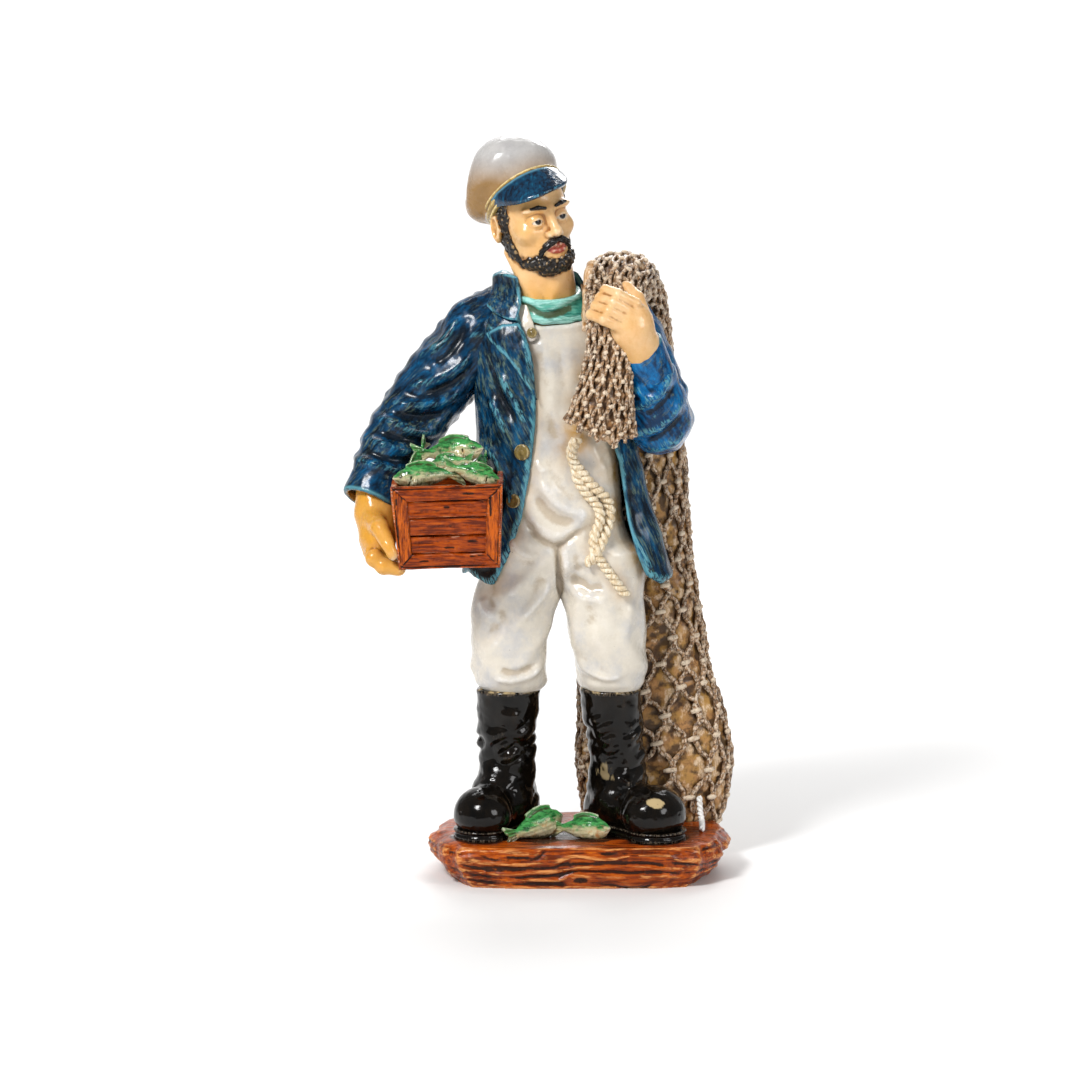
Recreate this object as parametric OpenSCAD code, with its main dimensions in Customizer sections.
// Fisherman figurine: a painted cast figure on a hewn timber plinth, with a crate of fish
// under the right arm and a fishing net slung over the left shoulder.
// Frame: origin at the centre of the plinth's underside, +Z up, the figure faces -Y,
// +X towards the figure's left hand. Millimetres.

/* [Overall] */
// Height from the underside of the plinth to the top of the cap
figure_h = 250; // [200:10:300]

/* [Plinth] */
// Width of the plinth at its widest, in a 250 mm figure
base_w = 106; // [102:1:112]
// Depth of the plinth
base_d = 64; // [62:1:76]
// Thickness of the plinth in the middle, where the boots stand
base_h = 15; // [14.5:0.25:15.5]

/* [Boots] */
// Thickness of the boot soles
sole_t = 3; // [2:0.25:3.5]
// Height of the boot tops above the table
boot_top = 64; // [60:1:66]

/* [Crate] */
// Width of the crate at its rim
crate_w = 37; // [35:0.5:38]
// Depth of the crate, front to back
crate_d = 26; // [24:0.5:27]
// Height of the crate
crate_h = 28; // [27:0.5:29]
// Forward tilt of the crate
crate_tilt = 6; // [4:0.5:8]
// Width of the front frame's mitred rails
rail_w = 5; // [4:0.25:5.5]
// Thickness of the crate's boards
board_t = 2; // [1.6:0.1:2.4]

/* [Details] */
// Diameter of the coat buttons
button_d = 5; // [4:0.25:5.5]
// Diameter of the brass button on the shoulder strap
strap_button_d = 3.6; // [3:0.1:4]
// Diameter of the laid rope
rope_d = 3; // [2.5:0.1:3.4]
// Facets round the soft shapes
soft_fn = 14; // [13:1:16]

/* [Hidden] */

DESIGN_H = 250;
small_fn = 13;
sole_top = base_h + sole_t;
crotch_z = 96;
crotch_x = -8;
waist_z = 150;
// The net's front bunch ends and its shoulder roll starts at this height
net_split_z = 193.5;

// Key points of the figure: [x, y, z, radius]
RIGHT_LEG = [[-21, 0, 102, 15], [-24, -1, 82, 13.2], [-23.6, 0, 72, 13]];
LEFT_LEG = [[6, 0, 102, 15], [9, -1, 84, 13.3], [10.8, 0, 72, 13]];
RIGHT_SHAFT = [[-24.6, 0, 66, 11.4], [-25, 1, 44, 9.8], [-25, 2, 29, 10.2]];
LEFT_SHAFT = [[10.6, 0, 66, 10.8], [12, 1, 44, 9.4], [13, 1.5, 29, 10.2]];
RIGHT_FOOT = [[-23.6, 6, 21, 8.6], [-28, -5, 25, 8], [-33.4, -14, 22.5, 9.2]];
LEFT_FOOT = [[11, 5, 21, 8.6], [17, -6, 25, 8.4], [25.6, -16, 23, 10.2]];
RIGHT_ARM = [[-35, 2, 184.5, 11.5], [-47.5, 3, 169.5, 12.3], [-59.5, -1, 153.5, 10.6],
  [-67, -8, 141, 9.4]];
RIGHT_WRIST = [-70, -12, 130, 6.4];
LEFT_ARM = [[15, 5, 189, 10], [20, 3, 179, 9.5], [25.8, -1, 165, 9.6],
  [26.2, -8, 154.5, 10.4], [23.6, -17, 164, 9.2], [21.5, -22, 172, 8.4]];
LEFT_WRIST = [19.8, -25, 179.5, 7.2];
HEAD = [-16.5, -4, 224.5];
HEAD_TURN = 30;
HEAD_LEAN = -12;
// The cap sits pushed back, its band higher at the forehead than at the nape
CAP_PITCH = -36;
CRATE = [-43.6, -22, 110.8];
CRATE_ROLL = -1.6;

// Fish lying in the crate: [x, y, z, turn, pitch, size]
CRATE_FISH = [[-52, -28.5, 139, 10, -3, 1], [-35, -28, 139.5, 176, -16, 0.85],
  [-43, -19, 146.5, 158, 8, 1.05], [-55, -15, 143, 60, -50, 0.7],
  [-33.5, -18, 142, 75, -18, 0.7], [-44, -24, 143, -20, -10, 0.7]];
PLINTH_FISH = [[-14.5, -14.5, 0, 218, 12, 1.05], [1.5, -17, 0, 158, 4, 0.9]];

// Routes of the rope's two runs down the front: [x, z, stand-off from the dungarees]
ROPE_SHORT = [[-1.3, 151.5, 8], [-2.9, 148, 4], [-2, 143.6, 1.5], [1.2, 140.4, 0.6], [5, 136, 0.6],
  [9.4, 131.6, 0.6], [11, 128.4, 0.6], [10.4, 123.8, 0.6], [9.4, 120.2, 0.6], [7.6, 116.2, 0.6],
  [5, 112.4, 0.6], [2.4, 108.6, 0.6]];
ROPE_LONG = [[-2, 143, 1.5], [-1, 137.4, 0.6], [2.2, 132.4, 0.6], [5, 129.4, 0.6], [6.6, 126, 1.5],
  [6.4, 122.6, 1.5], [4.6, 118.4, 0.8], [4.6, 114.2, 0.8], [6.8, 110, 0.6], [10.2, 105.2, 0.6],
  [13.4, 100.6, 0.6], [15.6, 98, 0.6]];

// ---- Shape helpers -------------------------------------------------------

// A sphere at the point p, where p is [x, y, z, radius]
module ball(p, fn = soft_fn) {
  translate([p[0], p[1], p[2]]) sphere(r = p[3], $fn = fn);
}

// An ellipsoid with half-axes s, turned by r about its own centre
module egg(p, s, r = [0, 0, 0], fn = soft_fn) {
  translate(p) rotate(r) scale(s) sphere(r = 1, $fn = fn);
}

// Round-ended tubes joined end to end along the points
module limb(points, fn = soft_fn) {
  for (i = [0:len(points) - 2]) hull() {
    ball(points[i], fn);
    ball(points[i + 1], fn);
  }
}

// Everything above the height z, or below it
module above(z) { translate([-200, -200, z]) cube([400, 400, 400]); }
module below(z) { translate([-200, -200, z - 400]) cube([400, 400, 400]); }

// A front-view outline, points [x, z], cut back from y = -90 to the given depth
module front_cut(points, back) {
  translate([0, back, 0]) rotate([90, 0, 0]) linear_extrude(height = 90 + back) polygon(points);
}

// Places the head's own frame: its centre between the ears, its face towards -Y
module in_head() {
  translate(HEAD) rotate([0, HEAD_LEAN, HEAD_TURN]) children();
}

// Places the cap's own frame: the middle of its band, which tips back on the head
module in_cap() {
  in_head() translate([0, 1.5, 6.5]) rotate([CAP_PITCH, 0, 0]) children();
}

// Places the crate's own frame: the middle of its underside
module in_crate() {
  translate(CRATE) rotate([crate_tilt, CRATE_ROLL, 0]) children();
}

// ---- Whole shapes, before their neighbours are cut from them -------------

module torso_form() {
  hull() { egg([-8, 0, 104], [26, 15, 8]); egg([-8, -1, 124], [22, 16, 12]); }
  hull() { egg([-8, -1, 124], [22, 16, 12]); egg([-9, -1, 152], [22, 15.5, 12]); }
  hull() { egg([-9, -1, 152], [22, 15.5, 12]); egg([-10, 0, 181], [23, 12.5, 10]); }
  hull() { egg([-10, 0, 181], [23, 12.5, 10]); egg([-11, 0, 194], [13, 9, 5]); }
}

// How far forward the dungarees reach at x and z: the belly, or the left thigh below it
function belly_y(x, z) = let (half = 22 + 0.2 * max(0, 124 - z))
  -1 - 16 * sqrt(max(0, 1 - pow((x + 8) / half, 2)));
function thigh_y(x, z) = -sqrt(max(0, 225 - pow(x - 6, 2) - pow(max(0, z - 102), 2)));
function on_front(route) = [for (p = route)
  [p[0], min(belly_y(p[0], p[1]), thigh_y(p[0], p[1])) - p[2], p[1]]];

module coat_form() {
  hull() { egg([-3.5, 2, 104.5], [35.5, 19, 2.5]); egg([-6.5, 1, 128], [29.5, 20, 9]); }
  hull() { egg([-6.5, 1, 128], [29.5, 20, 9]); egg([-8, 0, 160], [27.5, 18.5, 10]); }
  hull() { egg([-8, 0, 160], [27.5, 18.5, 10]); egg([-9, 1, 184], [30, 15.5, 9]); }
  hull() { egg([-9, 1, 184], [30, 15.5, 9]); egg([-11, 2, 195.5], [17, 11, 5]); }
}

module neck_form() {
  hull() { egg([-11, -1, 194], [11, 9.5, 6]); egg([-12.5, -3, 208], [10.5, 10, 4]); }
}

module head_form() {
  in_head() {
    hull() {
      egg([0, 1.5, 4.5], [12, 14.5, 12]);
      egg([0, -4.5, -9.5], [8.6, 8.2, 7]);
    }
    egg([0, -13.2, -3], [2, 3.4, 3.4], fn = small_fn);
    // An ear is as high as from the brow to the base of the nose
    for (side = [-1, 1]) egg([side * 12, 2.8, -0.8], [1.8, 3, 5.1], fn = small_fn);
  }
}

module cap_band_form() {
  in_cap() translate([0, 0, -2]) scale([1, 1.13, 1]) cylinder(r = 13.4, h = 4.5, $fn = 28);
}

module cap_crown_form() {
  in_cap() hull() {
    translate([0, 0, 2]) scale([1, 1.13, 1]) cylinder(r = 13.2, h = 1, $fn = 28);
    egg([-0.6, 2, 8.5], [16.4, 16.6, 5.5]);
    egg([-2, -3, 13.6], [11.5, 10.5, 6.2]);
  }
}

// The visor is the front of a steep conical shell round the band
module cap_visor_form() {
  in_cap() intersection() {
    difference() {
      translate([0, 0, -8.5]) scale([1, 1.13, 1]) cylinder(r1 = 16.4, r2 = 14, h = 9.5, $fn = 28);
      translate([0, 0, -8.6]) scale([1, 1.13, 1]) cylinder(r1 = 14.8, r2 = 12.4, h = 9.8, $fn = 28);
    }
    translate([0, 0, 4]) rotate([90, 0, 0]) scale([1, 0.98, 1])
      cylinder(r = 13.6, h = 30, $fn = 28);
  }
}

module net_front_form() {
  hull() { egg([6.5, -27, 159], [11.8, 8, 6.5]); ball([9.5, -26, 178, 6.5]); }
  hull() { ball([9.5, -26, 178, 6.5]); egg([10.5, -22, 195], [8, 6, 7]); }
}

module net_shoulder_form() {
  hull() { egg([10.5, -22, 195], [8, 6, 7]); egg([13.5, -6, 203.5], [11, 8, 9]); }
  hull() { egg([13.5, -6, 203.5], [11, 8, 9]); egg([16.5, 14, 194], [12, 8, 11]); }
}

module net_bag_form() {
  hull() { egg([16.5, 14, 194], [12, 8, 11]); egg([21, 24, 160], [13.5, 8, 8]); }
  hull() { egg([21, 24, 160], [13.5, 8, 8]); egg([21, 23, 105], [18.5, 8.5, 8]); }
  hull() { egg([21, 23, 105], [18.5, 8.5, 8]); egg([23, 21.5, 64], [22.5, 10, 8]); }
  hull() {
    egg([23, 21.5, 64], [22.5, 10, 8]);
    egg([26.5, 20.5, 38], [26.5, 11.5, 8]);
    egg([26, 20, 20], [23.5, 10.5, 8]);
  }
}

module right_cuff_form() {
  hull() { ball([-68.6, -10, 138, 9.4]); ball([-71, -13, 131, 9]); }
}

module left_cuff_form() {
  hull() { ball([21.6, -21.6, 172, 8.8]); ball([19.6, -24.8, 180, 8]); }
}

module right_hand_form() {
  hull() { ball(RIGHT_WRIST, small_fn); egg([-67.8, -17, 120.5], [5.4, 8, 8]); }
  hull() { egg([-67.8, -17, 120.5], [5.4, 8, 8]); ball([-64.5, -21, 111.5, 4.4], small_fn); }
  hull() { ball([-64.5, -21, 111.5, 4.4], small_fn); ball([-57, -22, 108.6, 3.2], small_fn); }
  hull() { ball([-68, -24, 124, 3.4], small_fn); ball([-62.8, -34, 119, 2.8], small_fn); }
}

module left_hand_form() {
  hull() { ball(LEFT_WRIST, small_fn); egg([15.5, -31, 188.5], [6.5, 5, 8.5], [0, -25, 0]); }
  for (finger = [0:3]) hull() {
    ball([11 + 2.4 * finger, -33.5, 186.5 + 3.6 * finger, 3], small_fn);
    ball([4.5 + 1.8 * finger, -30.5, 190.5 + 2.8 * finger, 2.7], small_fn);
  }
}

module crate_hull() {
  in_crate() hull() {
    linear_extrude(height = 0.1) square([crate_w - 3.5, crate_d - 2], center = true);
    translate([0, 0, crate_h - 0.1]) linear_extrude(height = 0.1)
      square([crate_w, crate_d], center = true);
  }
}

// One fish along +X: a round body, a tail fin and a back fin
module fish_form(place) {
  translate([place[0], place[1], place[2]]) rotate([0, place[4], place[3]]) scale(place[5]) {
    hull() { egg([-6, 0, 0], [4.5, 3, 3.6], fn = small_fn);
      egg([3, 0, 0], [5, 2.4, 3], fn = small_fn); }
    hull() { ball([8, 0, 0, 1.4], small_fn); ball([13, 0, 2.8, 0.8], small_fn);
      ball([13, 0, -2.8, 0.8], small_fn); }
    hull() { ball([-5, 0, 3.2, 0.8], small_fn); ball([2, 0, 3.6, 0.8], small_fn); }
  }
}

module plinth_fish_form(i) {
  fish = PLINTH_FISH[i];
  fish_form([fish[0], fish[1], base_h + 3.2 * fish[5], fish[3], fish[4], fish[5]]);
}

// ---- Plinth ---------------------------------------------------------------

// Outline of the plinth's hewn plank, drawn in by end at its ends and by side at its sides
function plinth_outline(end, side) = let (w = base_w / 2 - end, b = base_d / 2 - side) [
  [-w, -0.1 * b], [-0.93 * w, -0.62 * b], [-0.8 * w, -0.94 * b], [-0.5 * w, -b],
  [0.55 * w, -b], [0.78 * w, -0.9 * b], [0.93 * w, -0.55 * b], [w, 0],
  [0.96 * w, 0.5 * b], [0.84 * w, 0.86 * b], [0.5 * w, b], [-0.5 * w, b],
  [-0.84 * w, 0.88 * b], [-0.95 * w, 0.45 * b]];

module base() {
  color("sienna") hull() {
    linear_extrude(height = 1) polygon(plinth_outline(11, 2.5));
    translate([0, 0, 4]) linear_extrude(height = 1) polygon(plinth_outline(4.5, 1));
    translate([0, 0, 9]) linear_extrude(height = 3) polygon(plinth_outline(0, 0));
    translate([0, 0, base_h - 2]) linear_extrude(height = 1) polygon(plinth_outline(2, 0.5));
    translate([0, 0, base_h - 1]) linear_extrude(height = 1) polygon(plinth_outline(6, 7));
  }
}

// ---- Boots ----------------------------------------------------------------

module sole(foot) {
  heel = foot[0];
  toe = foot[2];
  color("black") translate([0, 0, base_h]) linear_extrude(height = sole_t) hull() {
    translate([heel[0], heel[1]]) circle(r = heel[3] + 0.6, $fn = 24);
    translate([toe[0], toe[1]]) circle(r = toe[3] + 0.4, $fn = 24);
  }
}

module right_boot_sole() { sole(RIGHT_FOOT); }
module left_boot_sole() { sole(LEFT_FOOT); }

module boot(shaft, foot) {
  color("dimgray") intersection() {
    union() { limb(shaft); limb(foot); }
    above(sole_top);
    below(boot_top);
  }
}

module right_boot() { boot(RIGHT_SHAFT, RIGHT_FOOT); }
module left_boot() { boot(LEFT_SHAFT, LEFT_FOOT); }

// ---- Dungarees and shirt --------------------------------------------------

module trouser_leg(points) {
  color("ivory") intersection() {
    limb(points);
    above(boot_top);
    below(crotch_z);
  }
}

module right_trouser_leg() {
  intersection() {
    trouser_leg(RIGHT_LEG);
    translate([-200 + crotch_x, -100, 0]) cube([200, 200, 200]);
  }
}

module left_trouser_leg() {
  intersection() {
    trouser_leg(LEFT_LEG);
    translate([crotch_x, -100, 0]) cube([200, 200, 200]);
  }
}

// The bib's outline from the front, above the waist
module bib_region() {
  front_cut([[-40, waist_z], [40, waist_z], [24, 165], [7, 187], [2, 189],
    [-13, 187.5], [-18, 189], [-31, 165]], -3);
}

module dungarees_body() {
  color("ivory") difference() {
    intersection() {
      union() { torso_form(); limb(RIGHT_LEG); limb(LEFT_LEG); }
      union() {
        intersection() { above(crotch_z); below(waist_z); }
        bib_region();
      }
    }
    crate_hull();
  }
}

module shirt() {
  color("mediumaquamarine") difference() {
    torso_form();
    below(waist_z);
    bib_region();
    neck_form();
  }
}

// A strap lies on the shirt as a band 1 mm thick, running back over the shoulder
module strap(low_x, high_x, width) {
  color("ivory") difference() {
    intersection() {
      translate([-10, 0, 184]) scale([1.035, 1.07, 1.05]) translate([10, 0, -184]) torso_form();
      front_cut([[low_x, 187], [low_x + width, 187], [high_x + width, 204], [high_x, 204]], 3);
    }
    torso_form();
    neck_form();
  }
}

module right_strap() { strap(-19.5, -24.5, 5); }
module left_strap() { strap(3, 6, 4.5); }

module strap_button() {
  color("darkgoldenrod") difference() {
    translate([-16.3, -11, 186]) rotate([90, 0, 0]) cylinder(d = strap_button_d, h = 4.6, $fn = 24);
    torso_form();
    right_strap();
  }
}

// ---- Coat -----------------------------------------------------------------

// Where the coat hangs open down the front, points [x, z]
module coat_opening() {
  front_cut([[-24, 206], [-14.6, 165], [-16, 148], [-20, 124], [-29, 98],
    [22, 98], [18, 112], [14, 133], [10, 146], [10, 165], [5, 206]], -1);
}

module figure_core() {
  torso_form();
  neck_form();
  limb(RIGHT_LEG);
  limb(LEFT_LEG);
}

module coat_body() {
  color("midnightblue") difference() {
    coat_form();
    figure_core();
    coat_opening();
    crate_hull();
    net_shoulder_form();
    net_front_form();
  }
}

module collar_form() {
  translate([-12, 3, 191]) rotate([10, -4, 0]) scale([1, 0.78, 1])
    cylinder(r1 = 21, r2 = 13.5, h = 14, $fn = 28);
}

module coat_collar() {
  color("darkblue") difference() {
    collar_form();
    coat_form();
    figure_core();
    translate([-12, 2, 189]) scale([1, 0.86, 1]) cylinder(r = 12.4, h = 24, $fn = 28);
    front_cut([[-23, 180], [3, 180], [3, 215], [-21, 215]], -3);
    head_form();
    beard_form();
    net_shoulder_form();
    hair_form();
  }
}

// A lapel is a folded-back layer 1.4 mm thick over the coat's front edge
module lapel(points) {
  color("steelblue") difference() {
    intersection() {
      translate([-8, 1, 175]) scale([1.03, 1.09, 1.01]) translate([8, -1, -175]) coat_form();
      front_cut(points, -6);
    }
    coat_form();
    figure_core();
    net_front_form();
    net_shoulder_form();
    collar_form();
    left_hand_form();
    arm_forms();
  }
}

module right_lapel() {
  lapel([[-24, 201], [-33, 190], [-26, 187], [-30, 181], [-17, 160], [-14.6, 166]]);
}

module left_lapel() {
  lapel([[7, 200], [15, 190], [11, 186], [15, 180], [12, 160], [8, 166]]);
}

module coat_buttons() {
  color("goldenrod") for (place = [[-19.4, 147.5], [-22.8, 130.5]])
    difference() {
      translate([place[0] + 1, -15, place[1]]) rotate([90, 0, -20])
        cylinder(d = button_d, h = 5.5, $fn = 24);
      coat_form();
      figure_core();
      crate_hull();
    }
}

module arm_forms() {
  limb(concat(RIGHT_ARM, [RIGHT_WRIST]));
  limb(concat(LEFT_ARM, [LEFT_WRIST]));
}

module right_sleeve() {
  color("navy") difference() {
    limb(RIGHT_ARM);
    coat_form();
    right_cuff_form();
    crate_hull();
  }
}

module left_sleeve() {
  color("navy") difference() {
    limb(LEFT_ARM);
    coat_form();
    left_cuff_form();
    net_front_form();
    net_shoulder_form();
    net_bag_form();
  }
}

module right_cuff() {
  color("darkblue") difference() {
    right_cuff_form();
    crate_hull();
  }
}

module left_cuff() {
  color("darkblue") difference() {
    left_cuff_form();
    net_front_form();
    coat_form();
  }
}

// ---- Hands ----------------------------------------------------------------

module right_hand() {
  color("burlywood") difference() {
    right_hand_form();
    right_cuff_form();
    crate_hull();
  }
}

module left_hand() {
  color("burlywood") difference() {
    left_hand_form();
    left_cuff_form();
    net_front_form();
    net_shoulder_form();
  }
}

// ---- Head -----------------------------------------------------------------

module head() {
  color("burlywood") difference() {
    union() { head_form(); neck_form(); }
    intersection() { torso_form(); below(193); }
  }
}

module beard_form() {
  in_head() difference() {
    hull() {
      egg([0, -5.5, -13.5], [9.4, 9, 4.5]);
      for (side = [-1, 1]) egg([side * 9.8, 0, -7], [2.6, 4, 4], fn = small_fn);
    }
    egg([0, -13.5, -6], [8, 6.5, 6.6]);
  }
}

module beard() {
  color("black") difference() {
    beard_form();
    head_form();
    neck_form();
  }
}

module moustache() {
  color("black") difference() {
    in_head() for (side = [-1, 1]) hull() {
      egg([side * 0.9, -12.6, -7.4], [1.4, 1.6, 1], fn = small_fn);
      egg([side * 4.4, -11, -9], [1.2, 1.6, 1], fn = small_fn);
    }
    head_form();
    beard_form();
  }
}

module eyebrows() {
  color("black") difference() {
    in_head() for (side = [-1, 1]) hull() {
      egg([side * 2.6, -12.4, 3.4], [1, 1.4, 0.7], fn = small_fn);
      egg([side * 7, -10.4, 3.8], [1, 1.4, 0.7], fn = small_fn);
    }
    head_form();
    cap_band_form();
  }
}

module eyes() {
  color("black") difference() {
    in_head() for (side = [-1, 1]) egg([side * 4.4, -11, 0], [2.2, 2, 1.4], fn = small_fn);
    head_form();
  }
}

module hair_form() {
  in_head() difference() {
    egg([0, 3, 1], [12.9, 14.4, 11]);
    translate([-20, -34, -20]) cube([40, 30, 60]);
    egg([0, -4, -14], [20, 14, 10]);
  }
}

module hair() {
  color("black") difference() {
    hair_form();
    head_form();
    cap_band_form();
    cap_crown_form();
    cap_visor_form();
    neck_form();
    beard_form();
  }
}

// ---- Cap ------------------------------------------------------------------

module cap_band() {
  color("gold") difference() {
    cap_band_form();
    head_form();
  }
}

module cap_crown() {
  color("whitesmoke") difference() {
    cap_crown_form();
    cap_band_form();
    head_form();
  }
}

module cap_visor() {
  color("mediumblue") difference() {
    cap_visor_form();
    cap_crown_form();
    cap_band_form();
    head_form();
  }
}

// ---- Crate ----------------------------------------------------------------

// Half-width of the crate's front at height z, which narrows towards its foot
function crate_half(z) = (crate_w - 3.5 + 3.5 * z / crate_h) / 2;

// The front frame's outer and inner corners, going round, points [x, z]
FRAME_OUT = [[-crate_half(0), 0], [crate_half(0), 0],
  [crate_half(crate_h), crate_h], [-crate_half(crate_h), crate_h]];
FRAME_IN = [[rail_w - crate_half(rail_w), rail_w], [crate_half(rail_w) - rail_w, rail_w],
  [crate_half(crate_h) - rail_w, crate_h - rail_w],
  [rail_w - crate_half(crate_h), crate_h - rail_w]];

module board(points, front, thick) {
  translate([0, front + thick, 0]) rotate([90, 0, 0]) linear_extrude(height = thick)
    polygon(points);
}

module crate_front_frame() {
  color("chocolate") in_crate() for (i = [0:3])
    board([FRAME_OUT[i], FRAME_OUT[(i + 1) % 4], FRAME_IN[(i + 1) % 4], FRAME_IN[i]],
      -crate_d / 2, board_t);
}

// Three planks fill the frame, with a gap between them
module crate_front_planks() {
  gap = 0.5;
  span = (crate_h - 2 * rail_w - 2 * gap) / 3;
  color("peru") in_crate() for (i = [0:2]) {
    low = rail_w + i * (span + gap);
    left = rail_w - crate_half(low);
    right = crate_half(low) - rail_w;
    board([[left, low], [right, low], [right, low + span], [left, low + span]],
      -crate_d / 2 + 0.6, board_t - 0.6);
  }
}

module crate_side(side) {
  color("chocolate") in_crate() hull() for (end = [0, 1]) {
    z = end * (crate_h - 0.1);
    translate([side * (crate_half(z) - board_t / 2) - board_t / 2, -crate_d / 2 + board_t, z])
      cube([board_t, crate_d - board_t, 0.1]);
  }
}

module crate_left_side() { crate_side(-1); }
module crate_right_side() { crate_side(1); }

module crate_back() {
  color("chocolate") in_crate() board([
    [board_t - crate_half(0), 0], [crate_half(0) - board_t, 0],
    [crate_half(crate_h) - board_t, crate_h], [board_t - crate_half(crate_h), crate_h]],
    crate_d / 2 - board_t, board_t);
}

module crate_floor() {
  inset = board_t + 0.02;
  color("peru") in_crate() translate([inset - crate_half(0), -crate_d / 2 + board_t, 0])
    cube([2 * (crate_half(0) - inset), crate_d - 2 * board_t, board_t]);
}

module crate_boards() {
  crate_front_frame();
  crate_front_planks();
  crate_left_side();
  crate_right_side();
  crate_back();
}

// ---- Fish -----------------------------------------------------------------

// A fish in the crate, cut where it lies on the ones below it
module crate_fish(i) {
  color("seagreen") difference() {
    fish_form(CRATE_FISH[i]);
    if (i > 0) for (j = [0:i - 1]) fish_form(CRATE_FISH[j]);
    crate_boards();
    coat_form();
    arm_forms();
    right_cuff_form();
    right_hand_form();
  }
}

module crate_fish_1() { crate_fish(0); }
module crate_fish_2() { crate_fish(1); }
module crate_fish_3() { crate_fish(2); }
module crate_fish_4() { crate_fish(3); }
module crate_fish_5() { crate_fish(4); }
module crate_fish_6() { crate_fish(5); }

module plinth_fish(i) {
  color("mediumseagreen") difference() {
    plinth_fish_form(i);
    if (i > 0) plinth_fish_form(0);
    below(base_h);
    for (foot = [RIGHT_FOOT, LEFT_FOOT]) { limb(foot); sole(foot); }
  }
}

module plinth_fish_right() { plinth_fish(0); }
module plinth_fish_left() { plinth_fish(1); }

// ---- Net and rope ---------------------------------------------------------

module net_front() {
  color("tan") difference() {
    net_front_form();
    coat_form();
    torso_form();
    above(net_split_z);
    egg([6, -28, 150.5], [8, 4.5, 4]);
  }
}

module net_shoulder() {
  color("tan") difference() {
    net_shoulder_form();
    intersection() { below(net_split_z); translate([-50, -100, 0]) cube([100, 88, 300]); }
    torso_form();
    neck_form();
    head_form();
    beard_form();
    hair_form();
    strap(3, 6, 4.5);
    net_bag_form();
  }
}

module net_bag() {
  color("tan") difference() {
    net_bag_form();
    coat_form();
    figure_core();
    for (shaft = [RIGHT_SHAFT, LEFT_SHAFT]) limb(shaft);
    for (foot = [RIGHT_FOOT, LEFT_FOOT]) { limb(foot); sole(foot); }
    below(base_h);
    collar_form();
  }
}

// The loose end of twine by the left toe
module net_cord_end() {
  color("white") difference() {
    limb([[42, -8, base_h + 0.9, 0.9], [42.6, 2, base_h + 1, 0.9], [42, 9, base_h + 9, 0.9]],
      small_fn);
    below(base_h);
    net_bag_form();
  }
}

// Unit direction of a route at its point i
function way(route, i) = let (a = route[max(0, i - 1)], b = route[min(len(route) - 1, i + 1)])
  (b - a) / norm(b - a);

// A swept tube with eight sides
module tube(route, d) {
  sides = 8;
  last = len(route) - 1;
  rings = [for (i = [0:last]) let (ahead = way(route, i), across = cross(ahead, [0, 1, 0]),
    wide = across / norm(across), deep = cross(ahead, wide))
    [for (k = [0:sides - 1]) route[i]
      + d / 2 * (cos(360 * k / sides) * wide + sin(360 * k / sides) * deep)]];
  polyhedron(
    points = [for (r = rings) each r],
    faces = concat(
      [[for (k = [0:sides - 1]) k]],
      [[for (k = [0:sides - 1]) last * sides + sides - 1 - k]],
      [for (i = [0:last - 1], k = [0:sides - 1])
        [i * sides + k, (i + 1) * sides + k,
          (i + 1) * sides + (k + 1) % sides, i * sides + (k + 1) % sides]]));
}

// The rope's two runs are one cast relief, sunk a little in the cloth under it
module rope() {
  color("wheat") difference() {
    union() {
      tube(on_front(ROPE_SHORT), rope_d);
      tube(on_front(ROPE_LONG), rope_d);
    }
    torso_form();
    limb(LEFT_LEG);
    net_front_form();
    difference() { coat_form(); coat_opening(); }
  }
}

module sized() { scale(figure_h / DESIGN_H) children(); }

sized() base();
sized() right_boot_sole();
sized() left_boot_sole();
sized() right_boot();
sized() left_boot();
sized() right_trouser_leg();
sized() left_trouser_leg();
sized() dungarees_body();
sized() right_strap();
sized() left_strap();
sized() strap_button();
sized() shirt();
sized() coat_body();
sized() coat_collar();
sized() right_lapel();
sized() left_lapel();
sized() coat_buttons();
sized() right_sleeve();
sized() left_sleeve();
sized() right_cuff();
sized() left_cuff();
sized() right_hand();
sized() left_hand();
sized() head();
sized() beard();
sized() moustache();
sized() eyebrows();
sized() eyes();
sized() hair();
sized() cap_crown();
sized() cap_band();
sized() cap_visor();
sized() crate_front_frame();
sized() crate_front_planks();
sized() crate_left_side();
sized() crate_right_side();
sized() crate_back();
sized() crate_floor();
sized() crate_fish_1();
sized() crate_fish_2();
sized() crate_fish_3();
sized() crate_fish_4();
sized() crate_fish_5();
sized() crate_fish_6();
sized() plinth_fish_right();
sized() plinth_fish_left();
sized() net_front();
sized() net_shoulder();
sized() net_bag();
sized() net_cord_end();
sized() rope();
